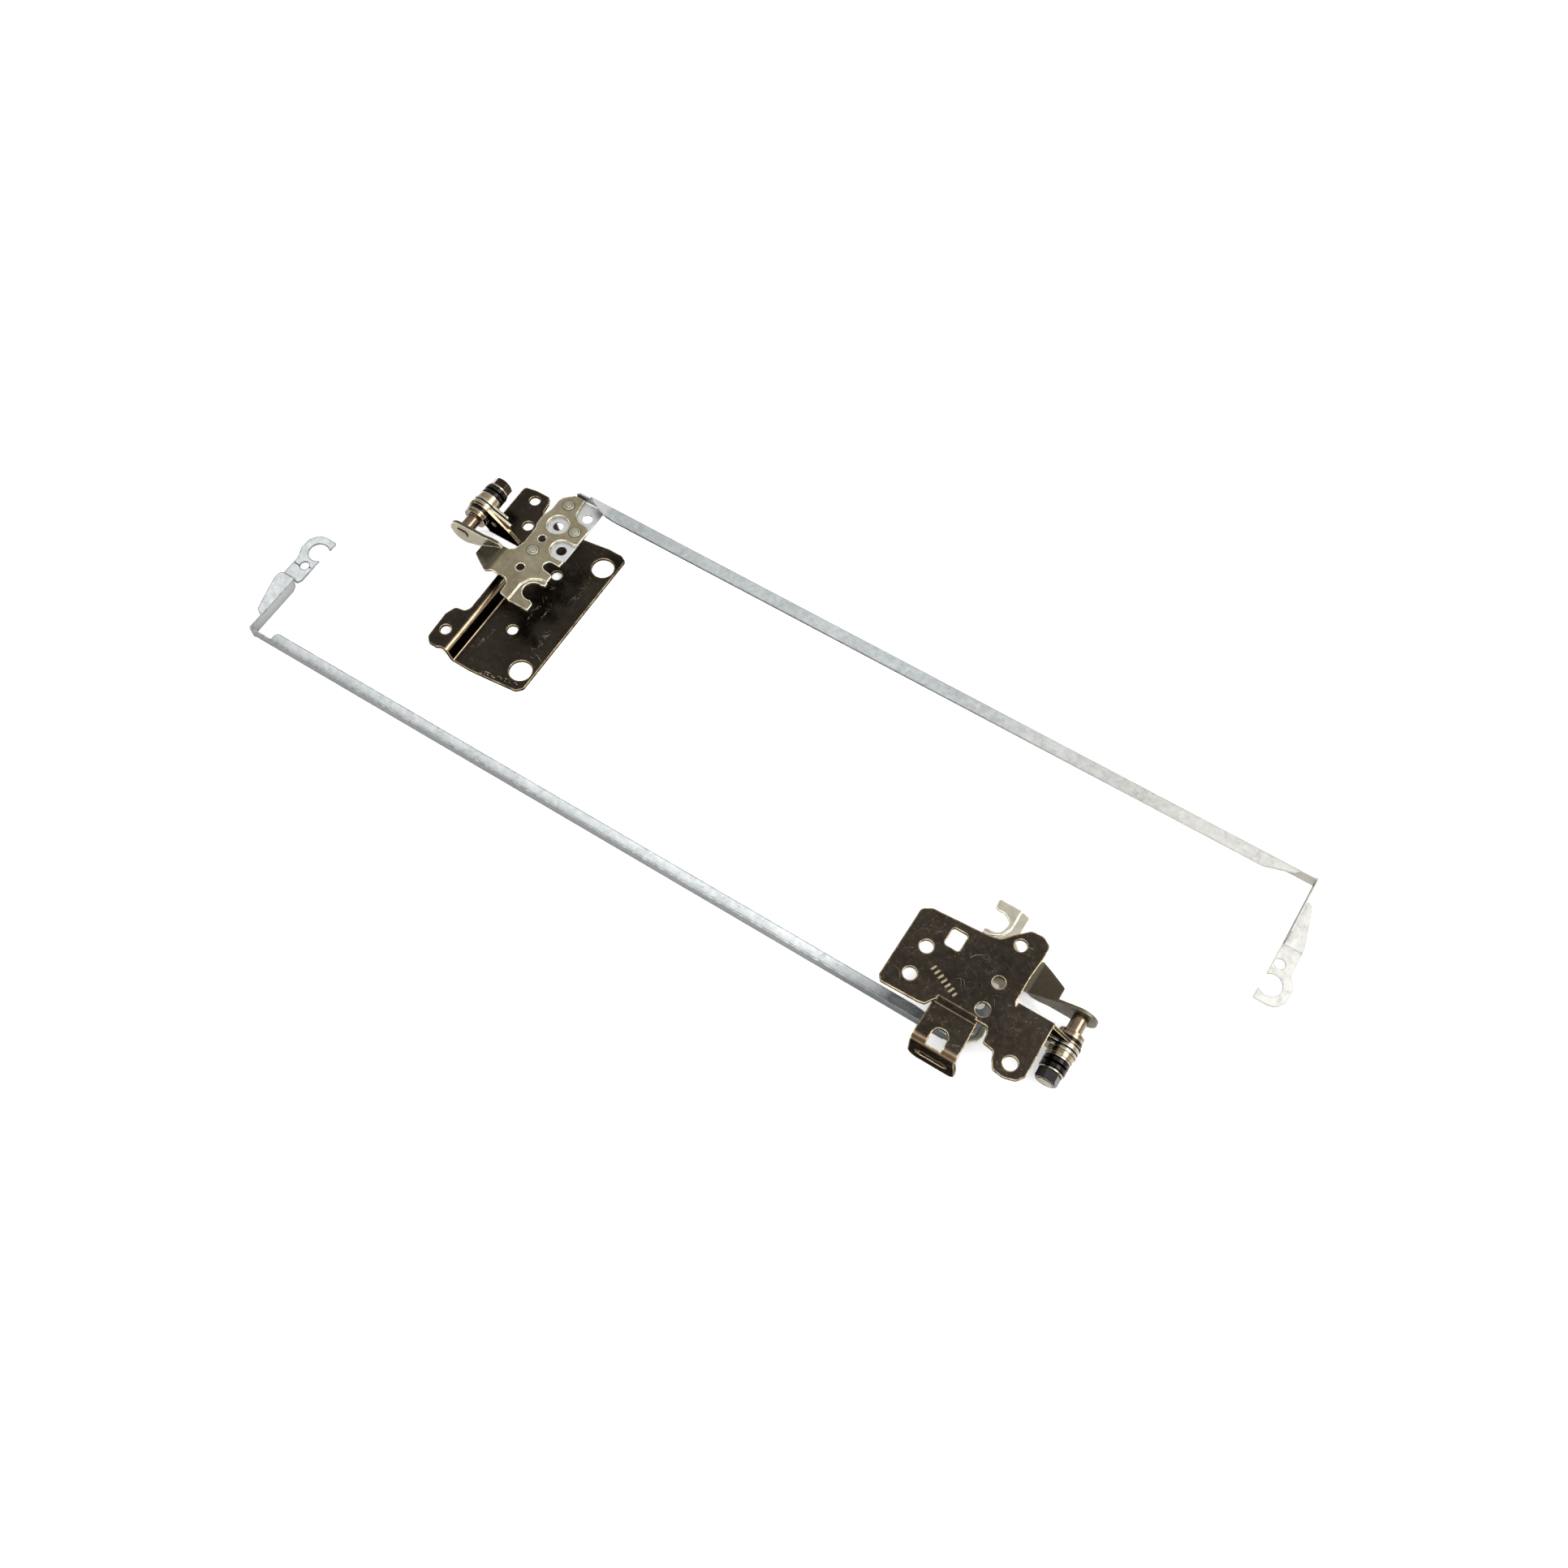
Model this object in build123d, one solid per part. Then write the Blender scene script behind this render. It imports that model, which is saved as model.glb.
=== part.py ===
from build123d import *
import math
import os

# Matched pair of notebook lid friction hinges with long side rails.
# The right-hand hinge lies lid side up, the left-hand hinge lies base side up,
# as the two are laid side by side on a bench.
#
# Every hinge is described in its own local frame (s, t, z):
#   s  runs along the side rail, from the far corner toward the hinge
#   t  runs inward, across the lid, along the hinge axis
#   z  runs from the base plate toward the lid; z = 0 is the outer face of
#      the base plate
# Millimetres throughout.  +X is the long direction, +Z is up, the origin is
# the centre of the footprint, on the surface that the pair rests on.

# ---------------------------------------------------------------- driving dims
STACK_H = 15.10          # overall height, base plate outer face to rail flange
RAIL_T = 0.50            # side rail sheet
BRK_T = 0.80             # lid bracket sheet
BASE_T = 1.00            # base plate sheet
PLATE_Z = 11.01          # underside of the rail plates
BRK_Z = PLATE_Z + RAIL_T # underside of the lid bracket
RAIL_LEN = 230.8         # web length
FLANGE_W = 4.20          # rail flange width
SCREW_D = 3.05           # lid screw clearance holes in the rail
BASE_SCREW_D = 3.20      # base screw holes
BOSS_D = 6.60            # large boss holes of the right base plate
AXIS_S = 253.00          # hinge axis position along the rail
AXIS_Z = 8.70            # hinge axis height above the base plate outer face
SHIFT_L = -4.87          # left hinge: friction pack sits this much further out
HOOK_R = 3.00            # open screw seats (C shapes)
EAR_OUT = 27.00          # outer face of the lid ear (right hinge)
EAR_T = 0.90
SHAFT_D = 4.00           # shaft core
FLAT_W = 3.00            # across the two flats of the shaft core
BORE_D = 4.06            # running bores
DISC_D = 7.10            # disc spring outside diameter
NUT_AF = 5.50
GAP = 0.02               # axial running gap between turning and fixed plates

# placement of the two local frames in the common frame
RIGHT_X, RIGHT_Y = 142.785, 44.95    # right: X = RIGHT_X - s, Y = RIGHT_Y - t
LEFT_X, LEFT_Y = -144.735, -37.85    # left:  X = LEFT_X + s,  Y = LEFT_Y + t


# --------------------------------------------------------------------- helpers
def outline(pts):
    """Closed face from (x, y) or (x, y, r) corners; r rounds the corner."""
    n = len(pts)
    corners = []
    for i in range(n):
        p = pts[i]
        r = p[2] if len(p) > 2 else 0.0
        a, b = pts[i - 1], pts[(i + 1) % n]
        if r <= 0:
            corners.append(((p[0], p[1]), None, (p[0], p[1])))
            continue
        ux, uy = a[0] - p[0], a[1] - p[1]
        vx, vy = b[0] - p[0], b[1] - p[1]
        lu, lv = math.hypot(ux, uy), math.hypot(vx, vy)
        ux, uy, vx, vy = ux / lu, uy / lu, vx / lv, vy / lv
        dot = max(-1.0, min(1.0, ux * vx + uy * vy))
        half = math.acos(dot) / 2
        if half > math.radians(88.5):
            corners.append(((p[0], p[1]), None, (p[0], p[1])))
            continue
        d = r / math.tan(half)
        lim = 0.48 * min(lu, lv)
        if d > lim:
            d = lim
            r = d * math.tan(half)
        p1 = (p[0] + ux * d, p[1] + uy * d)
        p2 = (p[0] + vx * d, p[1] + vy * d)
        bx, by = ux + vx, uy + vy
        lb = math.hypot(bx, by)
        k = r / math.sin(half) - r
        mid = (p[0] + bx / lb * k, p[1] + by / lb * k)
        corners.append((p1, mid, p2))
    edges = []
    for i in range(n):
        p1, mid, p2 = corners[i]
        if mid is not None:
            edges.append(ThreePointArc(p1, mid, p2))
        q = corners[(i + 1) % n][0]
        if math.hypot(q[0] - p2[0], q[1] - p2[1]) > 1e-6:
            edges.append(Line(p2, q))
    return Face(Wire(edges))


def slab(pts, z0, z1):
    """Sheet metal blank in the (s, t) plane."""
    return Solid.extrude(outline(pts), Vector(0, 0, z1 - z0)).moved(Location((0, 0, z0)))


# (s, z) profile, extruded along t
def across(pts, t0, t1):
    f = outline(pts)                       # drawn in XY as (s, z)
    body = Solid.extrude(f, Vector(0, 0, t1 - t0))
    # x -> s, y -> z, z -> t
    pl = Plane(origin=(0, 0, 0), x_dir=(1, 0, 0), z_dir=(0, -1, 0))
    body = body.moved(pl.location)         # local z becomes -t
    return body.moved(Location((0, t1, 0)))


# (t, z) profile, extruded along s
def along(pts, s0, s1):
    f = outline(pts)                       # drawn in XY as (t, z)
    body = Solid.extrude(f, Vector(0, 0, s1 - s0))
    pl = Plane(origin=(0, 0, 0), x_dir=(0, 1, 0), z_dir=(1, 0, 0))
    body = body.moved(pl.location)
    return body.moved(Location((s0, 0, 0)))


def rod(s, z, d, t0, t1):
    """Cylinder parallel to the hinge axis, from t0 to t1."""
    c = Solid.make_cylinder(d / 2, abs(t1 - t0),
                            Plane(origin=(s, min(t0, t1), z), z_dir=(0, 1, 0)))
    return c


def post(s, t, d, z0, z1):
    return Solid.make_cylinder(d / 2, z1 - z0, Plane(origin=(s, t, z0), z_dir=(0, 0, 1)))


def cone(s, t, d0, d1, z0, z1):
    return Solid.make_cone(d0 / 2, d1 / 2, z1 - z0, Plane(origin=(s, t, z0), z_dir=(0, 0, 1)))


def axis_cone(d0, d1, t0, t1):
    return Solid.make_cone(d0 / 2, d1 / 2, t1 - t0,
                           Plane(origin=(AXIS_S, t0, AXIS_Z), z_dir=(0, 1, 0)))


def block(s0, s1, t0, t1, z0, z1):
    return Solid.make_box(s1 - s0, t1 - t0, z1 - z0, Plane(origin=(s0, t0, z0)))


def core(t0, t1, d=SHAFT_D, flat=FLAT_W):
    """Shaft section with two flats (double D)."""
    c = rod(AXIS_S, AXIS_Z, d, t0, t1)
    return c & block(AXIS_S - d, AXIS_S + d, t0, t1, AXIS_Z - flat / 2, AXIS_Z + flat / 2)


def one(shape):
    """Reduce a boolean result to its single solid."""
    sol = shape.solids()
    if len(sol) == 1:
        return sol[0]
    return Compound(children=list(sol))


# ------------------------------------------------------------------- side rail
def side_rail(left):
    zt = STACK_H
    if left:
        far = [(5.5, RAIL_T), (5.5, FLANGE_W, 1.3)]
    else:
        far = [(5.2, RAIL_T), (5.25, 1.0, 0.2), (5.9, 1.8, 0.5), (8.0, 2.4, 1.0), (13.8, FLANGE_W, 2.0)]
    near = [(215.2, FLANGE_W, 3.0), (218.4, 3.9, 2.0), (220.3, 3.1, 1.5), (224.1, 1.4, 0.8), (225.0, RAIL_T)]
    # web and flange in one bent section, trimmed to its plan shape
    angle = along([(0, PLATE_Z), (0, zt, 0.6), (FLANGE_W + 1, zt), (FLANGE_W + 1, zt - RAIL_T),
                   (RAIL_T, zt - RAIL_T, 0.15), (RAIL_T, PLATE_Z)], 0.8, RAIL_LEN)
    angle &= slab([(-1, -1), (RAIL_LEN, -1), (RAIL_LEN, RAIL_T)] + near[::-1] + far[::-1] + [(-1, RAIL_T)],
                  PLATE_Z - 1, zt + 1)
    # past the flange the web is cut lower, with a rounded end
    angle -= across([(225.2, zt + 1), (225.9, 13.75, 0.6), (229.5, 13.75, 0.8), (RAIL_LEN, 12.6), (233, 12.6),
                     (233, zt + 1)], -1, FLANGE_W + 2)
    angle -= block(220.8, 233, -1, 2.2, PLATE_Z - 1, PLATE_Z + 1.8)
    angle += along([(0, PLATE_Z, 1.1), (0, PLATE_Z + 1.8), (RAIL_T, PLATE_Z + 1.8), (RAIL_T, PLATE_Z + RAIL_T, 0.6),
                    (2.2, PLATE_Z + RAIL_T), (2.2, PLATE_Z)], 220.8, RAIL_LEN) \
        & slab([(220.8, -1), (RAIL_LEN, -1), (RAIL_LEN, 0.9, 0.5), (230.9, 2.2), (220.8, 2.2)], PLATE_Z - 1, zt + 1)
    # corner and end web, sloping down to the hook plate
    corner = slab([(1.0, 0), (1.0, RAIL_T), (RAIL_T, RAIL_T, 0.4), (RAIL_T, 19.2), (0, 19.2), (0, 0, 0.9)],
                  PLATE_Z, zt)
    if left:
        corner -= along([(17.4, zt + 1), (17.6, zt, 0.8), (19.0, zt - 1.2, 0.8), (19.1, PLATE_Z + RAIL_T),
                         (20, PLATE_Z + RAIL_T), (20, zt + 1)], -1, 2)
    else:
        corner -= along([(16.5, zt + 1), (16.7, zt, 0.8), (18.7, PLATE_Z + 1.0, 0.5), (19.1, PLATE_Z + RAIL_T),
                         (20, PLATE_Z + RAIL_T), (20, zt + 1)], -1, 2)
    edge = -3.75 if left else -5.0
    toe = slab([(RAIL_T, 5.5), (-0.9, 5.5, 0.5), (-1.9, 6.2, 0.8), (-2.7, 8.8, 2.0), (-3.9, 13.4, 4.0),
                (-4.85, 17.2, 2.0), (-4.6 if left else -5.0, 19.4, 0.5), (edge, 19.7), (RAIL_T, 19.7)],
               PLATE_Z, PLATE_Z + RAIL_T)
    # hook plate is joggled one third of a millimetre toward the lid side
    jog = 0.32
    o = HOOK_L if left else HOOK_RT
    cx, cy = o
    inner = cx + (2.05 if left else 2.15)
    hook = slab([(edge, 19.3), (inner - 0.6, 19.3), (inner, 20.6, 0.8), (inner, cy - 2.2, 0.2), (inner + 0.3, cy + 2.4),
                 (inner + 0.45, cy + 5.2, 0.5), (cx - 1.6, cy + 5.3, 1.0), (cx - 3.6, cy + 4.7, 2.0),
                 (cx - 5.3, cy + 2.2, 2.0), (cx - 5.5, cy - 1.2, 1.5), (cx - 4.6, cy - 3.2, 1.2),
                 (edge, cy - 4.7, 1.5)],
                PLATE_Z + jog, PLATE_Z + jog + RAIL_T)
    hook -= post(cx, cy, 2 * HOOK_R, PLATE_Z - 1, PLATE_Z + 3)
    hook -= block(cx, cx + 4, cy - 2.25, cy + 2.25, PLATE_Z - 1, PLATE_Z + 3)
    hook -= post(HOLE_L[0] if left else HOLE_RT[0], HOLE_L[1] if left else HOLE_RT[1], 2.7, PLATE_Z - 1, PLATE_Z + 3)
    step = block(edge, 0.5, 19.3, 19.8, PLATE_Z, PLATE_Z + jog + RAIL_T)
    plate = slab([(220.8, 2.2), (220.8, 20.9, 0.4), (221.6, 21.5, 0.4), (225.2, 21.6, 0.6), (227.3, 25.0, 0.5),
                  (232.8, 25.0, 0.5), (232.8, 4.0, 0.8), (230.9, 2.2)],
                 PLATE_Z, PLATE_Z + RAIL_T)
    for s, t in SCREWS:
        plate -= post(s, t, SCREW_D, PLATE_Z - 1, PLATE_Z + 2)
    for s, t in RIVETS:
        plate -= post(s, t, RIVET_D, PLATE_Z - 1, PLATE_Z + 2)
    # open relief round the locating pin
    plate -= post(230.8, 19.1, 4.2, PLATE_Z - 1, PLATE_Z + 2)
    plate -= block(230.8, 234, 17.0, 21.2, PLATE_Z - 1, PLATE_Z + 2)
    rail = angle + corner + toe + hook + step + plate
    return one(rail)


HOOK_RT, HOLE_RT = (-1.55, 31.0), (-1.25, 24.7)    # right hook: open seat, round hole
HOOK_L, HOLE_L = (0.40, 30.65), (-0.20, 24.9)      # left hook
SCREWS = [(223.7, 5.5), (229.4, 11.9), (223.7, 18.4)]
RIVETS = [(230.7, 4.8), (223.8, 11.5), (230.4, 22.8)]
RIVET_D = 2.4
BIG_C = (222.5, 33.9)
SMALL_C = (223.3, 25.05)


# ----------------------------------------------------------------- lid bracket
def lid_bracket(left):
    sh = SHIFT_L if left else 0.0
    z0, z1 = BRK_Z, BRK_Z + BRK_T
    ear_in = EAR_OUT - EAR_T + sh
    e0 = EAR_OUT + sh
    right_side = [(227.6, 0.9, 0.3), (231.0, 0.9, 0.6), (233.6, 3.3, 1.0), (234.2, 5.0, 1.5), (234.1, 8.4, 3.0),
                  (235.0, 11.4, 3.0), (234.9, 14.5, 3.0)]
    notch = [(234.3, 15.8, 2.0), (234.1, 21.6 + sh, 1.6), (235.0, 25.1 + sh, 1.6), (236.4, ear_in - 0.1, 0.8),
             (238.2, ear_in)]
    arm = [(238.2, 35.6 + sh, 0.3)]
    if left:
        leg = [(236.6, 29.7, 1.2), (231.6, 29.6, 1.4), (229.4, 31.5, 1.4), (229.4, 39.3, 0.6)]
    else:
        leg = [(236.4, 34.4, 1.2), (231.6, 34.4, 1.2), (230.2, 35.6, 1.0), (229.9, 39.3, 0.6)]
    foot = [(226.7, 39.9, 0.3), (220.1, 39.8, 0.5), (220.2, 37.3, 0.4), (221.6, 36.6), (222.5, 33.9),
            (221.6, 30.9), (220.6, 30.7, 0.3), (220.7, 27.0, 0.4), (223.3, 26.6), (223.3, 23.5),
            (220.8, 23.5, 0.3), (220.6, 21.5, 0.3), (223.5, 21.6), (223.6, 18.4), (221.6, 15.2), (220.6, 15.0, 0.3),
            (220.5, 9.0, 0.6), (221.6, 8.4, 0.5), (224.6, 8.0, 1.5), (226.9, 6.4, 1.6), (227.3, 4.0, 1.0)]
    plate = slab(right_side + notch + arm + leg + foot, z0, z1)
    plate -= post(BIG_C[0], BIG_C[1], 2 * HOOK_R - 0.1, z0 - 2, z1 + 1)
    plate -= post(SMALL_C[0], SMALL_C[1], 3.1, z0 - 1, z1 + 1)
    plate -= block(219, SMALL_C[0], SMALL_C[1] - 1.55, SMALL_C[1] + 1.55, z0 - 1, z1 + 1)
    plate -= post(SCREWS[2][0], SCREWS[2][1], 6.3, z0 - 1, z1 + 1)
    plate -= block(219, SCREWS[2][0], SCREWS[2][1] - 3.15, SCREWS[2][1] + 3.15, z0 - 1, z1 + 1)
    plate -= post(SCREWS[1][0], SCREWS[1][1], 6.3, z0 - 1, z1 + 1)
    plate -= post(230.4, 18.2, 2.4, z0 - 1, z1 + 1)
    if not left:
        plate -= post(230.0, 29.3, 2.5, z0 - 1, z1 + 1)
    for s, t in RIVETS:
        plate -= post(s, t, RIVET_D, z0 - 1, z1 + 1)
    # open screw seat, joggled half a millimetre toward the base
    jog = 0.50
    low = slab([(226.7, 41), (226.7, 33.9), (225.4, 31.0, 2.0), (222.5, 29.5, 2.5), (219.0, 29.45), (219.0, 41)],
               z0 - 2, z1 + 2)
    seat = (plate & low).moved(Location((0, 0, -jog)))
    plate = (plate - low) + seat
    # ramp that drops from the plate to the ear fold
    zr = 4.6
    ramp = across([(238.0, z0), (238.6, z0, 1.5), (246.1, z0 - zr), (246.1, z0 - zr + BRK_T + 0.1),
                   (238.7, z1, 1.5), (238.0, z1)], ear_in, 36.0 + sh)
    ramp &= slab([(238.0, ear_in), (246.1, ear_in), (246.1, 30.2 + sh, 0.8), (241.2, 33.6 + sh, 1.5),
                  (238.2, 35.5 + sh), (238.0, 35.5 + sh)], 0, 20)
    plate = plate + ramp
    # upright ear with the round eye that carries the shaft
    arm_z = across([(237.2, z0), (238.6, z0, 1.0), (246.2, z0 - zr, 0.8), (249.2, 5.6, 1.5), (251.6, 4.66), (253.2, 13.0),
                    (244.6, 12.9, 2.0), (242.0, 13.5, 1.5), (239.6, 13.5, 1.2), (238.2, z1, 0.8), (237.2, z1)],
                   ear_in, e0)
    eye = rod(AXIS_S, AXIS_Z, 8.6, ear_in, e0)
    ear = arm_z + eye
    ear -= core(ear_in - 1, e0 + 1, 3.2, 2.4)
    return one(plate + ear)


# ---------------------------------------------------------------------- rivets
def rail_rivets():
    out = []
    for s, t in RIVETS:
        r = post(s, t, RIVET_D, PLATE_Z, BRK_Z + BRK_T)
        r += cone(s, t, 3.5, 3.1, BRK_Z + BRK_T, BRK_Z + BRK_T + 0.20)
        r += cone(s, t, 2.2, 1.8, BRK_Z + BRK_T + 0.20, BRK_Z + BRK_T + 0.48)
        r += cone(s, t, 2.7, 3.1, PLATE_Z - 0.25, PLATE_Z)
        out.append(one(r))
    return Compound(children=out)


# --------------------------------------------------------- shaft and its stack
def ring(t0, t1, d_out, d_in=BORE_D):
    return rod(AXIS_S, AXIS_Z, d_out, t0, t1) - rod(AXIS_S, AXIS_Z, d_in, t0 - 1, t1 + 1)


def keyed(t0, t1, d_out):
    return rod(AXIS_S, AXIS_Z, d_out, t0, t1) - core(t0 - 1, t1 + 1, SHAFT_D, FLAT_W)


# stations along t, right hinge, from the lid ear toward the nut
T_EAR = EAR_OUT - EAR_T      # 26.10
T_BARREL = 21.10
T_COLLAR = 20.10
T_THRUST = 19.50
T_BASE = 18.40               # outer face of the base ear
T_BASE_IN = T_BASE - BASE_T  # 17.40
T_PLATE1 = 16.60
T_DISC = 16.10
T_PLATE2 = 15.40
T_CAM = 13.90
T_SPACER = 13.30
T_SPRING = 10.00
T_END = 9.60
T_NUT = 6.80


def shaft():
    s = rod(AXIS_S, AXIS_Z, 4.3, T_BARREL, T_EAR)
    s += rod(AXIS_S, AXIS_Z, 7.0, T_COLLAR, T_BARREL)
    s += core(T_NUT - 0.15, T_COLLAR)
    s += core(T_EAR, EAR_OUT, 3.2, 2.4)
    # peened head over the ear, with its D-shaped crown
    peen = rod(AXIS_S, AXIS_Z, 3.9, EAR_OUT, EAR_OUT + 0.32)
    peen &= block(AXIS_S - 3, AXIS_S + 3, EAR_OUT, EAR_OUT + 1, AXIS_Z - 1.45, AXIS_Z + 1.45)
    s += peen
    return one(s)


def tear(t0, t1, tail, half_w, drop, bore, r_out=3.9):
    """Teardrop plate: round eye and a tail toward the base plate."""
    a = math.radians(drop)
    ex, ez = AXIS_S - tail * math.cos(a), AXIS_Z - tail * math.sin(a)
    nx, nz = -math.sin(a), math.cos(a)
    k = 3.3
    pts = [(AXIS_S + nx * k, AXIS_Z + nz * k), (ex + nx * half_w, ez + nz * half_w, 0.5),
           (ex - nx * half_w, ez - nz * half_w, 0.5), (AXIS_S - nx * k, AXIS_Z - nz * k)]
    p = across(pts, t0, t1) + rod(AXIS_S, AXIS_Z, 2 * r_out, t0, t1)
    p -= rod(AXIS_S, AXIS_Z, bore, t0 - 1, t1 + 1)
    return p


KEY_S, KEY_Z = 248.6, 5.9    # key hole of the base ear


def inner_plate():
    """Inner teardrop plate, with the stud that keys it to the base ear."""
    p = tear(T_PLATE1 + GAP, T_BASE_IN, 9.9, 1.25, 14, BORE_D)
    p += rod(KEY_S, KEY_Z, 1.3, T_BASE_IN, T_BASE - 0.25)
    return one(p)


def disc_springs():
    """Four cupped disc springs, stacked in two opposed pairs."""
    out = []
    th, cone_h = 0.45, 0.30
    t = T_SPACER
    step = (T_SPACER - T_SPRING) / 4
    for i in range(4):
        a = t - i * step
        b = a - step
        lo, hi = b + 0.02, a - 0.02
        r_o, r_i = DISC_D / 2, BORE_D / 2 + 0.05
        if i % 2 == 0:
            pts = [(r_i, hi), (r_i, hi - th), (r_o, lo), (r_o, lo + th)]
        else:
            pts = [(r_i, lo + th), (r_i, lo), (r_o, hi - th), (r_o, hi)]
        f = Face(Wire([Line(pts[k], pts[(k + 1) % 4]) for k in range(4)]))
        sp = Solid.revolve(f, 360, Axis((0, 0, 0), (0, 1, 0)))
        out.append(sp.moved(Location((AXIS_S, 0, AXIS_Z))))
    return Compound(children=out)


def lock_nut():
    n = across([(AXIS_S + NUT_AF / math.sqrt(3) * math.cos(math.radians(60 * k + 12)),
                 AXIS_Z + NUT_AF / math.sqrt(3) * math.sin(math.radians(60 * k + 12))) for k in range(6)],
               T_NUT, T_END)
    # chamfered corners on the free end
    n &= (axis_cone(5.3, 6.6, T_NUT, T_NUT + 0.45) + rod(AXIS_S, AXIS_Z, 6.6, T_NUT + 0.45, T_END))
    n -= core(T_NUT - 1, T_END + 1)
    return one(n)


# ----------------------------------------------------------------- base plates
def base_ear(sh, s0, s1):
    """Folded ear: bend, arm and round eye."""
    o = T_BASE + sh
    i = T_BASE_IN + sh
    arm = across([(s0, 1.4), (s0 + 0.1, 2.2, 0.5), (s0 + 3.0, 5.6, 2.0), (251.0, 12.0), (256.2, 6.5), (s1, 1.4)],
                 i, o)
    eye = rod(AXIS_S, AXIS_Z, 7.8, i, o)
    # quarter-round bend from the flat into the ear
    bend = along([(i - 0.6, 0), (o - 1.5, 0), (o, 0, 1.5), (o, 1.5), (i, 1.5), (i, BASE_T, 0.5), (i - 0.6, BASE_T)],
                 s0, s1)
    ear = arm + eye + bend
    ear -= rod(AXIS_S, AXIS_Z, BORE_D, i - 1, o + 1)
    ear -= rod(KEY_S, KEY_Z, 1.4, i - 1, o + 1)
    return ear


def base_plate_right():
    flat = slab([(211.2, 6.3, 0.6), (213.0, 5.3, 0.8), (217.6, 5.3, 3.0), (226.5, 6.6, 2.0), (233.2, 7.7, 1.5),
                 (236.6, 5.3, 1.5), (240.6, 5.6, 0.6), (241.6, 4.4, 0.8), (241.9, 1.6, 1.0), (243.0, -0.6, 1.2), (247.6, -0.6, 2.5),
                 (251.6, 0.2, 1.2), (251.4, 17.0), (240.2, 17.0), (238.2, 19.0, 2.0), (237.8, 26.0, 0.8),
                 (233.4, 26.0), (233.4, 59.5), (228.0, 59.6, 3.0), (222.0, 59.1, 3.0), (212.8, 58.2, 1.4),
                 (211.2, 56.4, 1.2)], 0, BASE_T)
    # ledge raised over a rolled step
    step = across([(231.5, 0), (234.3, 0, 1.0), (235.8, LEDGE_Z, 0.8), (243.0, LEDGE_Z), (243.0, LEDGE_Z + BASE_T),
                   (234.9, LEDGE_Z + BASE_T, 1.7), (233.4, BASE_T, 0.5), (231.5, BASE_T)], 27.0, 60.5)
    step &= slab([(231.5, 27.0), (236.6, 27.0, 1.5), (237.5, 31.5, 3.0), (237.4, 44.8, 1.6), (238.2, 46.3, 1.2),
                  (241.2, 46.8, 1.4), (242.4, 50.0, 1.6), (242.0, 58.6, 1.5), (240.6, 60.1, 1.0), (238.0, 60.1, 0.8),
                  (237.0, 59.5, 0.6), (231.5, 59.5)], -1, 20)
    plate = flat + step + base_ear(0.0, 240.2, 251.4)
    plate -= post(215.3, 11.7, BOSS_D, -1, 3)
    plate -= post(215.3, 52.2, BOSS_D, -1, 3)
    plate -= post(225.2, 20.8, BASE_SCREW_D, -1, 3)
    plate -= post(225.2, 42.5, BASE_SCREW_D, -1, 3)
    plate -= post(246.1, 2.7, BASE_SCREW_D, -1, 3)
    plate -= post(242.5, 11.1, BASE_SCREW_D, -1, 3)
    plate -= post(239.1, 54.2, BASE_SCREW_D, LEDGE_Z - 1, LEDGE_Z + 3)
    return one(plate)


LEDGE_Z = 4.4            # underside of the raised ledge
TAB_DROP = 1.5           # left plate: stepped tab
LIP_Z = 14.0             # left plate: the lip reaches this far toward the lid


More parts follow.
